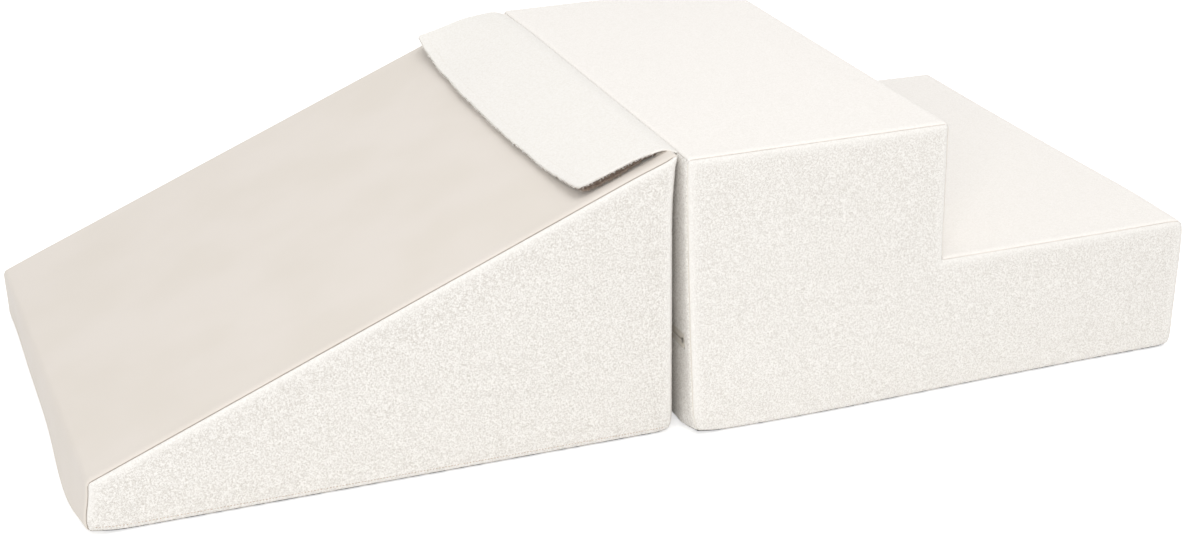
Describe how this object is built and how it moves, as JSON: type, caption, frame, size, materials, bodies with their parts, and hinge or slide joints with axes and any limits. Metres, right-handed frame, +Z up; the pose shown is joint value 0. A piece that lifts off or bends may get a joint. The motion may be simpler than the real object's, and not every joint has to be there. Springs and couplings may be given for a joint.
{
  "type": "soft play slide",
  "caption": "Foam wedge slide with a smooth slope beside a two-step foam block in looped fabric, joined by a sewn fabric flap over the gap.",
  "frame": {"origin": "middle of the footprint's bounding box, on the floor", "axes": "+X from the slide's foot to the steps, +Y from the pictured near side to the far side, +Z up"},
  "size_m": [1.1944, 0.5846, 0.3047],
  "materials": {
    "boucle": "ivory looped boucle cloth",
    "leatherette": "smooth matte beige leatherette",
    "base_fabric": "dark dotted non-slip cloth",
    "foam": "open-cell upholstery foam",
    "lining": "grey-brown woven lining",
    "hook_tape": "hook tape",
    "loop_tape": "brushed loop tape",
    "zip_tape": "woven zip tape with a nylon coil",
    "zip_metal": "satin nickel"
  },
  "bodies": {
    "steps": {"steps_lower_foam_block": "foam", "steps_upper_foam_block": "foam", "steps_base_panel": "base_fabric", "steps_end_panel": "boucle", "steps_low_tread_panel": "boucle", "steps_riser_panel": "boucle", "steps_top_tread_panel": "boucle", "steps_back_panel": "boucle", "steps_near_side_panel": "boucle", "steps_far_side_panel": "boucle", "steps_zip_half_lower": "zip_tape", "steps_zip_half_upper": "zip_tape", "steps_zip_stop": "zip_metal"},
    "wedge": {"wedge_foam_core": "foam", "wedge_base_panel": "base_fabric", "wedge_back_panel": "boucle", "wedge_slide_panel": "leatherette", "wedge_near_side_panel": "boucle", "wedge_far_side_panel": "boucle", "wedge_zip_half_lower": "zip_tape", "wedge_zip_half_upper": "zip_tape", "wedge_zip_stop": "zip_metal", "wedge_loop_strip": "loop_tape"},
    "flap": {"flap_face": "boucle", "flap_lining": "lining", "flap_hook_strip": "hook_tape"},
    "steps_slider": {"steps_zip_slider": "zip_metal"},
    "wedge_slider": {"wedge_zip_slider": "zip_metal"}
  },
  "joints": [
    {"name": "flap_lift", "type": "hinge", "parent": "steps", "child": "flap", "pos_m": [0.018, 0, 0.3018], "axis": [0, 1, 0], "range_deg": [0, 165]},
    {"name": "wedge_draw_out", "type": "slide", "parent": "steps", "child": "wedge", "axis": [0, -1, 0], "range_m": [0, 0.65]},
    {"name": "steps_zip_run", "type": "slide", "parent": "steps", "child": "steps_slider", "axis": [0, -1, 0], "range_m": [0, 0.52]},
    {"name": "wedge_zip_run", "type": "slide", "parent": "wedge", "child": "wedge_slider", "axis": [0, -1, 0], "range_m": [0, 0.52]}
  ]
}
